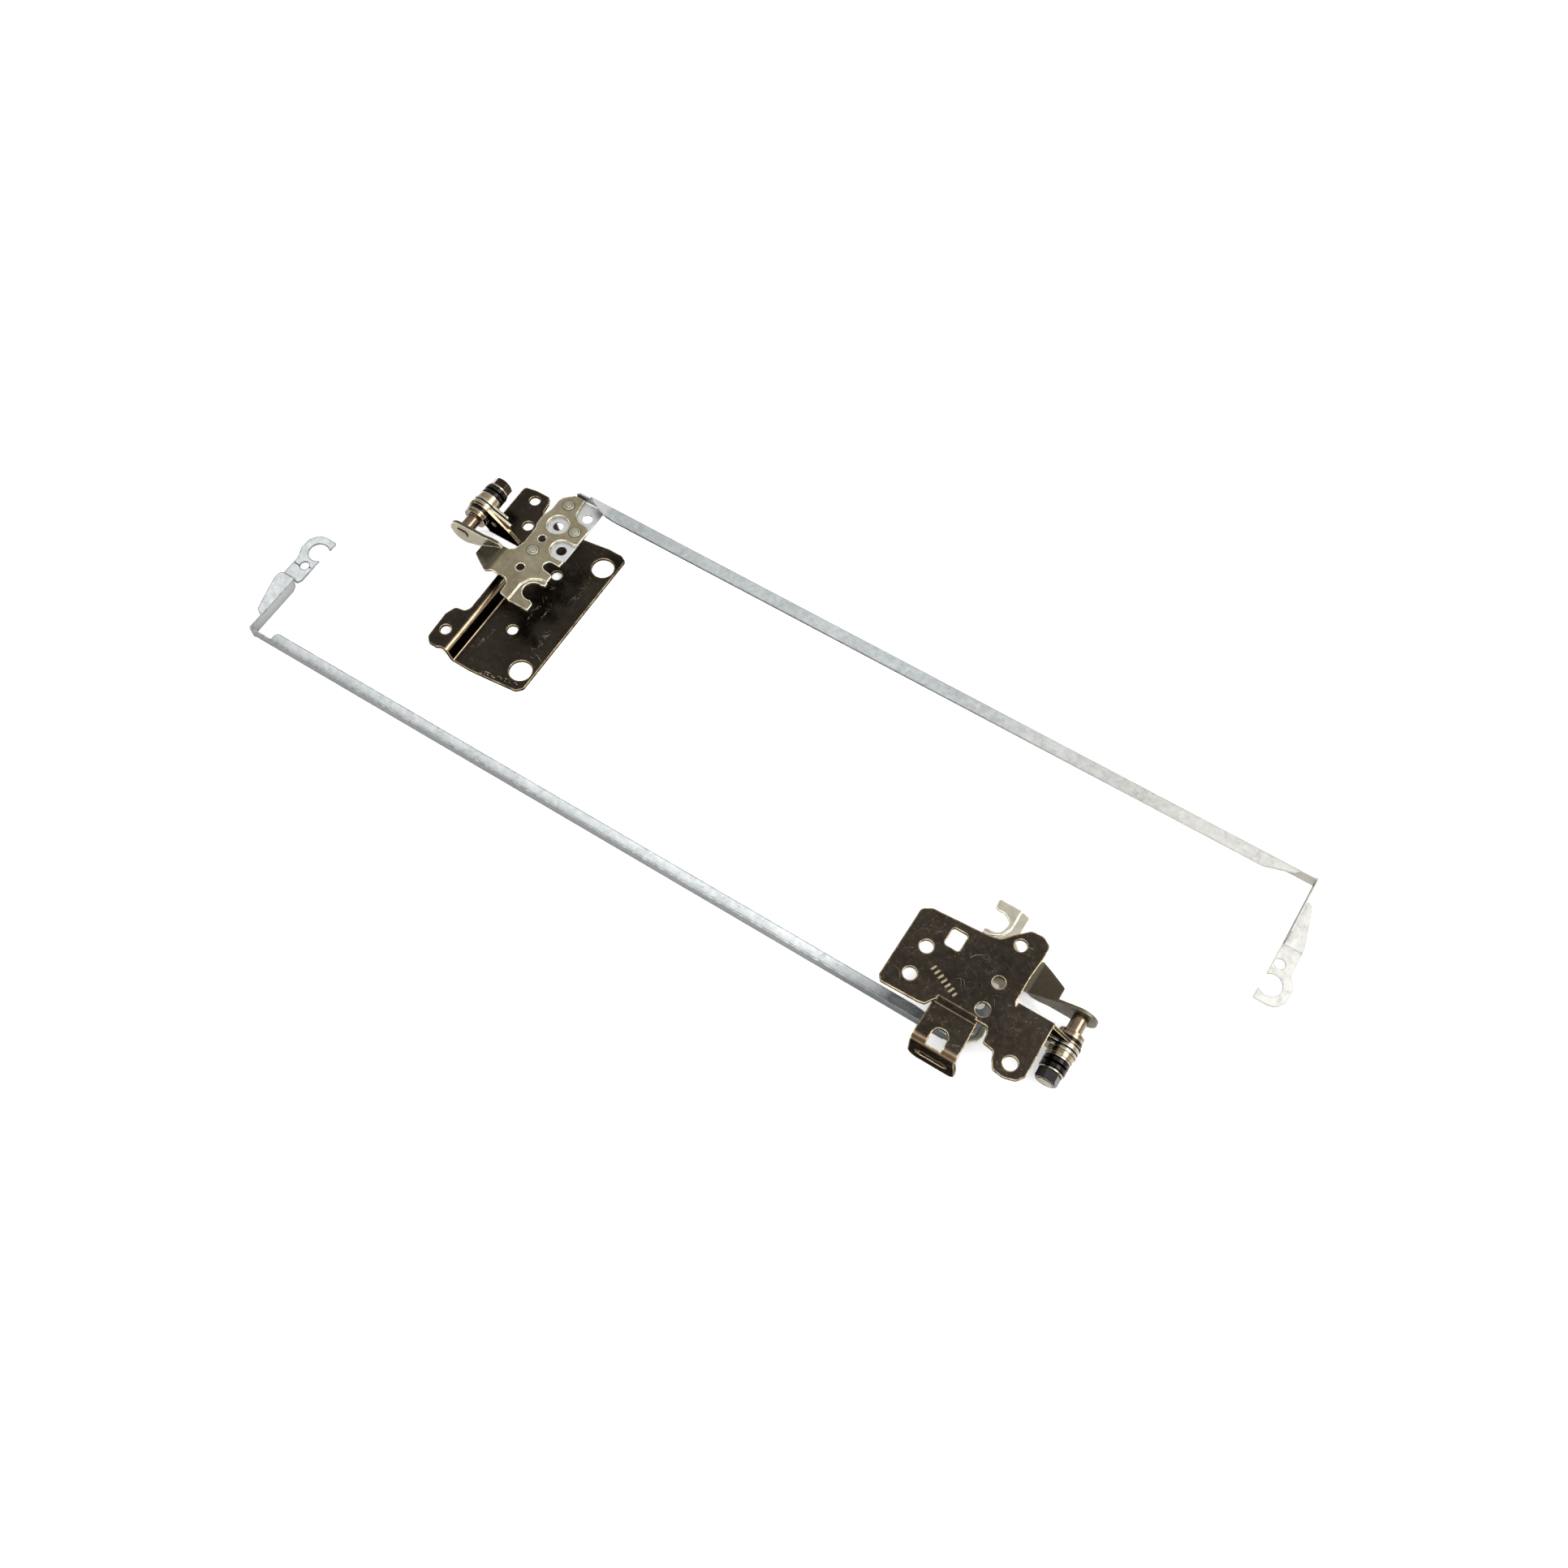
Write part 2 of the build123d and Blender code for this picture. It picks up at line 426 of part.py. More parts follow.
def base_plate_left():
    flat = slab([(205.4, 1.6, 0.5), (206.6, 0.3, 0.8), (216.9, 0.6, 0.8), (218.9, 1.0, 0.8), (219.8, 2.6, 0.8),
                 (220.6, 3.6), (220.6, 5.2), (231.4, 5.2), (231.4, 3.9), (234.6, 4.0, 0.6), (235.4, 2.4, 0.8),
                 (235.6, -0.1, 0.8), (238.9, -0.6, 1.0), (239.5, -2.6, 1.2), (240.8, -4.8, 1.5), (244.0, -5.2, 2.5),
                 (247.2, -4.3, 1.8), (248.6, -2.2, 1.5), (248.5, 12.1), (238.2, 12.1), (237.7, 13.4, 0.4),
                 (237.7, 20.8, 5.0), (238.2, 26.5, 3.0), (238.1, 30.4, 1.4), (235.6, 31.9, 1.8), (232.2, 31.7, 2.0),
                 (228.6, 28.0, 3.0), (226.4, 25.5, 3.0), (222.0, 24.9, 3.0), (208.1, 24.0, 2.0), (205.6, 22.4, 1.4)],
                0, BASE_T)
    zo, zi = TAB_DROP, TAB_DROP + BASE_T
    tab = along([(5.4, 0), (4.6, 0, 0.5), (3.4, zo, 0.5), (-7.7, zo, 2.3), (-7.7, LIP_Z), (-6.7, LIP_Z),
                 (-6.7, zi, 1.3), (3.9, zi, 0.5), (5.1, BASE_T, 0.5), (5.4, BASE_T)], 219.8, 233.2)
    tab &= slab([(220.3, 6.0), (219.9, 3.0), (219.8, -6.4), (219.8, -8), (233.2, -8), (233.2, -6.6), (232.5, -6.5),
                 (232.1, 3.6), (231.6, 6.0)], -1, 16)
    # lip corners rounded toward the table
    lip_edge = across([(219.8, 0), (219.8, LIP_Z, 3.0), (233.1, LIP_Z, 1.7), (232.9, 9.0, 4.0), (232.3, 5.0, 4.0),
                       (232.3, 0)], -9, 6)
    tab &= lip_edge
    # window over the bend, and the slot in the lip
    tab -= slab([(223.8, -7.0), (228.1, -7.0), (228.1, -1.9, 2.0), (223.8, -1.9, 2.0)], -1, 6)
    tab -= across([(222.0, 8.0, 1.1), (230.5, 8.0, 1.1), (230.5, 10.6, 1.1), (222.0, 10.6, 1.1)], -9, -6)
    plate = flat + tab + base_ear(SHIFT_L, 238.2, 248.5)
    for s, t, d in [(211.8, 14.2, 3.6), (211.8, 5.9, 3.6), (231.7, 26.8, 3.3), (231.7, 15.4, 3.3),
                    (231.7, 7.2, 3.7), (243.9, -1.2, 3.8)]:
        plate -= post(s, t, d, -1, 1.2)
    plate -= slab([(215.1, 17.1, 0.8), (219.4, 17.1, 0.8), (219.4, 22.3, 0.8), (215.1, 22.3, 0.8)], -1, 3)
    return one(plate)


# -------------------------------------------------------------------- assembly
def place_right(shape, _sh=0.0):
    out = [s.moved(Location((RIGHT_X, RIGHT_Y, 0), (0, 0, 180))) for s in shape.solids()]
    return out[0] if len(out) == 1 else Compound(children=out)


def place_left(shape, sh=0.0):
    out = [s.mirror(Plane.XY).moved(Location((LEFT_X, LEFT_Y + sh, STACK_H))) for s in shape.solids()]
    return out[0] if len(out) == 1 else Compound(children=out)


def friction_pack():
    """Everything on the hinge axis, at the right hinge's stations."""
    return {
        "shaft": shaft(),
        "thrust_washer": one(keyed(T_THRUST, T_COLLAR, 7.2)),
        "keyed_washer": one(keyed(T_BASE + GAP, T_THRUST, 7.4)),
        "friction_plate_inner": inner_plate(),
        "friction_disc": one(keyed(T_DISC + GAP, T_PLATE1, 7.2)),
        "friction_plate_outer": one(tear(T_PLATE2 + GAP, T_DISC, 8.0, 1.25, 10, BORE_D)),
        "pressure_cam": one(keyed(T_CAM, T_PLATE2, 7.3)),
        "spacer_washer": one(keyed(T_SPACER, T_CAM - 0.02, 6.9)),
        "disc_springs": disc_springs(),
        "end_washer": one(keyed(T_END, T_SPRING, 6.6)),
        "lock_nut": lock_nut(),
    }


NODES = {}
for side in ("right", "left"):
    is_left = side == "left"
    put = place_left if is_left else place_right
    sh = SHIFT_L if is_left else 0.0
    NODES[side + "_base_plate"] = put(base_plate_left() if is_left else base_plate_right())
    NODES[side + "_lid_bracket"] = put(lid_bracket(is_left))
    NODES[side + "_side_rail"] = put(side_rail(is_left))
    NODES[side + "_rail_rivets"] = put(rail_rivets())
    for name, shape in friction_pack().items():
        NODES[side + "_" + name] = put(shape, sh)

os.makedirs("parts", exist_ok=True)
for name, shape in NODES.items():
    export_step(shape, "parts/" + name + ".step")
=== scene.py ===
import math
import random

import bmesh
import bpy
from mathutils import Matrix, Vector


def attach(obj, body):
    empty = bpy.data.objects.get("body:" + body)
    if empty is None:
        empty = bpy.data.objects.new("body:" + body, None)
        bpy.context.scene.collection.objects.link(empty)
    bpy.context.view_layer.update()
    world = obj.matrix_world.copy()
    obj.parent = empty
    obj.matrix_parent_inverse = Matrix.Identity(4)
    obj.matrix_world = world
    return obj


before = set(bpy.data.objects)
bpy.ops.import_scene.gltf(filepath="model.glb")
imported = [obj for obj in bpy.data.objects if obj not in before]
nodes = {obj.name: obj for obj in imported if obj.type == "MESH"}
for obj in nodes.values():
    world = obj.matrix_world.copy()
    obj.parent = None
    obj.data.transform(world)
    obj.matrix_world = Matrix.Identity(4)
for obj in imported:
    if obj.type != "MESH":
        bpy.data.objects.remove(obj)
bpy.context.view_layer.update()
MM = 0.001


# ---------------------------------------------------------------- node helpers
class Graph:
    """A material's node tree, with short calls for the nodes used here. Object coordinates are in millimetres."""

    def __init__(self, name):
        self.material = bpy.data.materials.new(name)
        self.material.use_nodes = True
        self.tree = self.material.node_tree
        self.tree.nodes.clear()
        self.output = self.tree.nodes.new("ShaderNodeOutputMaterial")
        self.shader = self.tree.nodes.new("ShaderNodeBsdfPrincipled")
        self.tree.links.new(self.shader.outputs[0], self.output.inputs[0])
        self.coord = self.tree.nodes.new("ShaderNodeTexCoord")
        self.geometry = self.tree.nodes.new("ShaderNodeNewGeometry")

    def new(self, kind, **settings):
        node = self.tree.nodes.new(kind)
        for key, value in settings.items():
            setattr(node, key, value)
        return node

    def put(self, socket, value):
        if isinstance(value, bpy.types.NodeSocket):
            self.tree.links.new(value, socket)
        elif isinstance(value, (tuple, list)) and len(value) == 3 and socket.type == "RGBA":
            socket.default_value = (*value, 1.0)
        else:
            socket.default_value = value

    def mm(self, scale=(1, 1, 1), turn=0.0, shift=(0, 0, 0), tilt=0.0):
        """Object coordinates in millimetres, turned about Z, then scaled."""
        first = self.new("ShaderNodeMapping", vector_type="POINT")
        self.put(first.inputs["Vector"], self.coord.outputs["Object"])
        first.inputs["Rotation"].default_value = (tilt, 0, math.radians(turn))
        first.inputs["Scale"].default_value = (1000, 1000, 1000)
        second = self.new("ShaderNodeMapping", vector_type="POINT")
        self.put(second.inputs["Vector"], first.outputs[0])
        second.inputs["Location"].default_value = shift
        second.inputs["Scale"].default_value = scale
        return second.outputs[0]

    def noise(self, vector, scale, detail=2.0, rough=0.5, distort=0.0):
        node = self.new("ShaderNodeTexNoise")
        self.put(node.inputs["Vector"], vector)
        node.inputs["Scale"].default_value = scale
        node.inputs["Detail"].default_value = detail
        node.inputs["Roughness"].default_value = rough
        node.inputs["Distortion"].default_value = distort
        return node.outputs["Fac"]

    def cells(self, vector, scale, feature="F1"):
        node = self.new("ShaderNodeTexVoronoi", feature=feature)
        self.put(node.inputs["Vector"], vector)
        node.inputs["Scale"].default_value = scale
        return node

    def calc(self, operation, a, b=0.0, clamp=False):
        node = self.new("ShaderNodeMath", operation=operation, use_clamp=clamp)
        self.put(node.inputs[0], a)
        self.put(node.inputs[1], b)
        return node.outputs[0]

    def span(self, value, low, high, to_low=0.0, to_high=1.0, smooth=False):
        node = self.new("ShaderNodeMapRange", interpolation_type="SMOOTHSTEP" if smooth else "LINEAR")
        node.clamp = True
        self.put(node.inputs["Value"], value)
        node.inputs["From Min"].default_value = low
        node.inputs["From Max"].default_value = high
        node.inputs["To Min"].default_value = to_low
        node.inputs["To Max"].default_value = to_high
        return node.outputs[0]

    def blend(self, factor, a, b, kind="MIX"):
        node = self.new("ShaderNodeMix", data_type="RGBA", blend_type=kind)
        self.put(node.inputs[0], factor)
        self.put(node.inputs[6], a)
        self.put(node.inputs[7], b)
        return node.outputs[2]

    def dot(self, a, b):
        node = self.new("ShaderNodeVectorMath", operation="DOT_PRODUCT")
        self.put(node.inputs[0], a)
        self.put(node.inputs[1], b)
        return node.outputs["Value"]

    def bevel(self, radius, samples=6):
        node = self.new("ShaderNodeBevel", samples=samples)
        node.inputs["Radius"].default_value = radius * MM
        return node.outputs[0]

    def hairlines(self, turns, width=0.012, stretch=0.10, pitch=2.2, cover=0.56, shift=0.0):
        """Fine scratches: thin level lines of a stretched noise, broken up by a wider one."""
        total = None
        for i, turn in enumerate(turns):
            vector = self.mm((stretch * pitch, pitch, pitch), turn, (11.3 * i + shift, 5.7 * i, 0.4))
            field = self.noise(vector, 1.0, 1.0, 0.4)
            line = self.calc("ABSOLUTE", self.calc("SUBTRACT", field, 0.5))
            line = self.span(line, 0.0, width, 1.0, 0.0)
            patch = self.noise(self.mm((0.35, 0.5, 0.5), turn, (3.1 * i + shift, 9.1, 2.0)), 1.0, 2.0, 0.6)
            line = self.calc("MULTIPLY", line, self.span(patch, cover, cover + 0.10))
            total = line if total is None else self.calc("MAXIMUM", total, line)
        return total

    def edge_wear_and_glint(self, radius, low, high, least=0.25, patch_scale=0.5, patch=(0.35, 0.6)):
        """1 on the outer edges, which are rubbed and carry a painted highlight, 0 on the flats."""
        flat = self.dot(self.bevel(radius, 10), self.geometry.outputs["Normal"])
        edge = self.span(self.calc("SUBTRACT", 1.0, flat), low, high)
        broken = self.noise(self.mm((1, 1, 1)), patch_scale, 4.0, 0.65)
        return self.calc("MULTIPLY", edge, self.span(broken, patch[0], patch[1], least, 1.0))


def zone(g, axis, low, high):
    """1 past a place along X (0) or Y (1) of the object, in millimetres, 0 before it."""
    split = g.new("ShaderNodeSeparateXYZ")
    g.put(split.inputs[0], g.mm((1, 1, 1)))
    return g.span(split.outputs[axis], low, high, smooth=True)


def sheet(name, low, high, worn_and_glint, rough, wear_and_glint, bevel=0.16, turns=(12, 78, 140), scratch=0.5,
          grain=(0.08, 5.0, 5.0), grain_depth=0.35, blotch_scale=0.055, speck=0.25, seed=0.0,
          spangle=0.0, pits=0.0, rough_scratch=0.0, metallic=1.0, spec=0.5, hollow_shade=None, hollow_shade_reach=1.6,
          hollow_shade_span=(0.25, 0.85), upright_shade=None, graze=(1, 1, 1), least=0.25, bend_light=None, extra=None):
    """A plated sheet or turned part: mottled plating, rolled grain, hairlines, specks, rubbed edges with a painted
    highlight, painted shade in hollows and on upright faces, and painted light on the folds.
    """
    g = Graph(name)
    blotch = g.noise(g.mm((1, 1, 1), 0, (seed, seed * 2, 0)), blotch_scale, 6.0, 0.62, 0.4)
    middle = g.noise(g.mm((1, 1, 1), 0, (seed + 7, 3, 1)), 0.55, 4.0, 0.6)
    fine = g.noise(g.mm((1, 1, 1)), 4.5, 2.0, 0.6)
    rolled = g.noise(g.mm(grain, 0, (seed, 0, 0)), 1.0, 2.0, 0.5)
    tone = g.calc("ADD", g.calc("MULTIPLY", g.span(blotch, 0.33, 0.67), 0.52),
                  g.calc("MULTIPLY", g.span(middle, 0.35, 0.65), 0.26))
    tone = g.calc("ADD", tone, g.calc("MULTIPLY", fine, 0.12))
    tone = g.calc("ADD", tone, g.calc("MULTIPLY", rolled, 0.10), clamp=True)
    colour = g.blend(tone, low, high)
    height = g.calc("ADD", g.calc("MULTIPLY", fine, 0.5), g.calc("MULTIPLY", rolled, 0.5))
    roughness = g.span(g.calc("ADD", g.calc("MULTIPLY", middle, 0.6), g.calc("MULTIPLY", blotch, 0.4)),
                       0.36, 0.64, rough[0], rough[1])
    if spangle:
        # crystals of the zinc coat: cells of slightly different grey
        warped = g.new("ShaderNodeVectorMath", operation="ADD")
        jitter = g.new("ShaderNodeTexNoise")
        g.put(jitter.inputs["Vector"], g.mm((1, 1, 1)))
        jitter.inputs["Scale"].default_value = 0.9
        g.put(warped.inputs[0], g.mm((1, 1, 1)))
        g.put(warped.inputs[1], jitter.outputs["Color"])
        crystal = g.cells(warped.outputs[0], 1.15)
        split = g.new("ShaderNodeSeparateColor")
        g.put(split.inputs[0], crystal.outputs["Color"])
        small = g.cells(warped.outputs[0], 3.2)
        split_small = g.new("ShaderNodeSeparateColor")
        g.put(split_small.inputs[0], small.outputs["Color"])
        leaf = g.calc("ADD", g.calc("MULTIPLY", split.outputs[0], 0.6), g.calc("MULTIPLY", split_small.outputs[0], 0.4))
        shade = g.span(leaf, 0.0, 1.0, 1.0 - spangle, 1.0 + spangle * 0.5)
        grey = g.new("ShaderNodeCombineColor")
        for k in range(3):
            g.put(grey.inputs[k], shade)
        colour = g.blend(1.0, colour, grey.outputs[0], "MULTIPLY")
        roughness = g.calc("ADD", roughness, g.calc("MULTIPLY", g.calc("SUBTRACT", leaf, 0.5), 0.16))
        height = g.calc("ADD", height, g.calc("MULTIPLY", leaf, 0.35))
    if pits:
        dots = g.cells(g.mm((1, 1, 1), 0, (seed, 1, 2)), 1.4).outputs["Distance"]
        where = g.noise(g.mm((1, 1, 1), 0, (2, seed, 5)), 0.12, 3.0, 0.6)
        pit = g.calc("MULTIPLY", g.span(dots, 0.10, 0.22, 1.0, 0.0), g.span(where, 0.52, 0.62))
        colour = g.blend(g.calc("MULTIPLY", pit, pits), colour, tuple(c * 0.35 for c in low))
        height = g.calc("SUBTRACT", height, pit)
    if hollow_shade is not None:
        # painted shade: darker where other surfaces are close (ambient occlusion), in inner corners and under other
        # parts
        occlusion = g.new("ShaderNodeAmbientOcclusion", samples=16)
        occlusion.inputs["Distance"].default_value = hollow_shade_reach * MM
        dark = g.span(occlusion.outputs["AO"], hollow_shade_span[0], hollow_shade_span[1], 0.88, 0.0)
        colour = g.blend(dark, colour, hollow_shade)
    spots = g.cells(g.mm((1, 1, 1), 0, (seed * 3, 4, 8)), 0.62).outputs["Distance"]
    lucky = g.noise(g.mm((1, 1, 1), 0, (seed, 8, 3)), 0.33, 2.0, 0.5)
    spot = g.calc("MULTIPLY", g.span(spots, 0.045, 0.10, 1.0, 0.0), g.span(lucky, 0.50, 0.60))
    lines = g.hairlines(turns, shift=seed)
    # painted highlight along the outer edges, together with the rubbed plating there
    worn_edge_and_glint = g.edge_wear_and_glint(wear_and_glint[0], wear_and_glint[1], wear_and_glint[2], least)
    if upright_shade is not None:
        # painted shade: faces that stand upright, such as cut edges, hole walls, lips and webs, are made darker
        facing = g.new("ShaderNodeSeparateXYZ")
        g.put(facing.inputs[0], g.coord.outputs["Normal"])
        upright = g.span(g.calc("ABSOLUTE", facing.outputs[2]), 0.25, 0.55, 1.0, 0.0)
        colour = g.blend(g.calc("MULTIPLY", upright, upright_shade[3]), colour, upright_shade[:3])
    if bend_light is not None:
        # painted highlight on the folds, a lighter colour on the base plates; on the left bracket the fold colour is
        # darker, a painted shade that dims its highlight
        turned = g.new("ShaderNodeSeparateXYZ")
        g.put(turned.inputs[0], g.coord.outputs["Normal"])
        lean = g.calc("ABSOLUTE", turned.outputs[2])
        band = g.calc("MULTIPLY", g.span(lean, 0.34, 0.52), g.span(lean, 0.90, 0.985, 1.0, 0.0))
        band = g.calc("MULTIPLY", band, g.span(middle, 0.3, 0.7, 0.55, 1.0))
        if len(bend_light) > 4:
            band = g.calc("MULTIPLY", band, zone(g, *bend_light[4:]))
        colour = g.blend(g.calc("MULTIPLY", band, bend_light[3]), colour, bend_light[:3])
    marks = g.calc("MAXIMUM", g.calc("MULTIPLY", lines, scratch), g.calc("MULTIPLY", spot, speck))
    # the marks carry scratches, specks and the painted edge highlight
    marks = g.calc("MAXIMUM", marks, g.calc("MULTIPLY", worn_edge_and_glint, wear_and_glint[3]), clamp=True)
    colour = g.blend(marks, colour, worn_and_glint)
    if extra is not None:
        colour = extra(g, colour)
    roughness = g.calc("ADD", roughness, g.calc("MULTIPLY", lines, rough_scratch), clamp=True)
    height = g.calc("SUBTRACT", height, g.calc("MULTIPLY", lines, 0.7))
    bump = g.new("ShaderNodeBump")
    bump.inputs["Strength"].default_value = grain_depth
    bump.inputs["Distance"].default_value = 0.02 * MM
    g.put(bump.inputs["Height"], height)
    g.put(bump.inputs["Normal"], g.bevel(bevel, 6))
    g.put(g.shader.inputs["Base Color"], colour)
    g.put(g.shader.inputs["Roughness"], roughness)
    g.put(g.shader.inputs["Normal"], bump.outputs[0])
    g.shader.inputs["Metallic"].default_value = metallic
    g.shader.inputs["Specular IOR Level"].default_value = spec
    g.shader.inputs["Specular Tint"].default_value = (*graze, 1.0)
    return g.material


def ink_and_plate_shade(g, colour):
    """The left rail: a short felt pen stroke across the arm of its hook, and painted shade on a darker stretch near the
    shaft.
    """
    strokes = [((-148.25, -13.55), (-145.75, -13.72)), ((-143.75, -12.62), (-142.75, -12.74))]
    total = None
    flat = g.new("ShaderNodeMapping", vector_type="POINT")
    g.put(flat.inputs["Vector"], g.coord.outputs["Object"])
    flat.inputs["Scale"].default_value = (1000, 1000, 0)
    for (ax, ay), (bx, by) in strokes:
        a, b = Vector((ax, ay, 0)), Vector((bx, by, 0))
        along = (b - a).normalized()
        across = Vector((-along.y, along.x, 0))
        mid, half = (a + b) / 2, (b - a).length / 2
        rel = g.new("ShaderNodeVectorMath", operation="SUBTRACT")
        g.put(rel.inputs[0], flat.outputs[0])
        rel.inputs[1].default_value = mid
        u = g.calc("ABSOLUTE", g.dot(rel.outputs[0], along))
        v = g.calc("ABSOLUTE", g.dot(rel.outputs[0], across))
        mask = g.calc("MULTIPLY", g.span(u, half - 0.15, half + 0.1, 1.0, 0.0), g.span(v, 0.14, 0.26, 1.0, 0.0))
        total = mask if total is None else g.calc("MAXIMUM", total, mask)
    # painted shade: the stretch that lies under the base plate is made darker
    colour = g.blend(g.calc("MULTIPLY", zone(g, 0, 38.0, 62.0), 0.62), colour, (0.13, 0.14, 0.145))
    return g.blend(g.calc("MULTIPLY", total, 0.9), colour, (0.035, 0.03, 0.16))


def rivet_rings(side):
    """Oil and shadow in the groove round each rivet head, and the step round its button."""
    def add(g, colour):
        flat = g.new("ShaderNodeMapping", vector_type="POINT")
        g.put(flat.inputs["Vector"], g.coord.outputs["Object"])
        flat.inputs["Scale"].default_value = (1000, 1000, 0)
        total = None
        for s, t in ((230.7, 4.8), (223.8, 11.5), (230.4, 22.8)):
            centre = (142.785 - s, 44.95 - t, 0) if side == "right" else (-144.735 + s, -37.85 + t, 0)
            away = g.new("ShaderNodeVectorMath", operation="DISTANCE")
            g.put(away.inputs[0], flat.outputs[0])
            away.inputs[1].default_value = centre
            reach = away.outputs["Value"]
            outer = g.calc("MULTIPLY", g.span(reach, 1.55, 1.70), g.span(reach, 1.86, 2.02, 1.0, 0.0))
            inner = g.calc("MULTIPLY", g.span(reach, 0.98, 1.10), g.span(reach, 1.20, 1.34, 1.0, 0.0))
            ring = g.calc("MAXIMUM", outer, g.calc("MULTIPLY", inner, 0.75))
            total = ring if total is None else g.calc("MAXIMUM", total, ring)
        return g.blend(g.calc("MULTIPLY", total, 0.62), colour, (0.055, 0.048, 0.034))
    return add


def left_bracket_painted_shade(g, colour):
    """Painted shade: the ramp and the ear of the left bracket are given a darker, mottled colour."""
    colour = rivet_rings("left")(g, colour)
    dark = g.blend(g.noise(g.mm((1, 1, 1)), 0.35, 3.0, 0.6), (0.060, 0.048, 0.029), (0.115, 0.095, 0.064))
    return g.blend(g.calc("MULTIPLY", zone(g, 0, 90.5, 92.2), 0.92), colour, dark)


def right_bracket_painted_shade(g, colour):
    """Painted shade: the sloping ramp of the right bracket is given a darker, mottled colour."""
    colour = rivet_rings("right")(g, colour)
    facing = g.new("ShaderNodeSeparateXYZ")
    g.put(facing.inputs[0], g.coord.outputs["Normal"])
    ramp = g.calc("MULTIPLY", zone(g, 0, -93.6, -94.8), g.span(g.calc("ABSOLUTE", facing.outputs[2]), 0.25, 0.45))
    dark = g.blend(g.noise(g.mm((1, 1, 1)), 0.35, 3.0, 0.6), (0.055, 0.047, 0.028), (0.105, 0.092, 0.060))
    return g.blend(g.calc("MULTIPLY", ramp, 0.92), colour, dark)


def right_rail_tones(g, colour):
    """The right rail is given a warmer tone from mid-length to its far end, and a paler one on the mounting plate under
    the right bracket.
    """
    colour = g.blend(g.calc("MULTIPLY", zone(g, 0, 20.0, 110.0), 0.60), colour, (0.50, 0.48, 0.43))
    return g.blend(g.calc("MULTIPLY", zone(g, 0, -74.5, -77.0), 0.80), colour, (0.60, 0.605, 0.60))


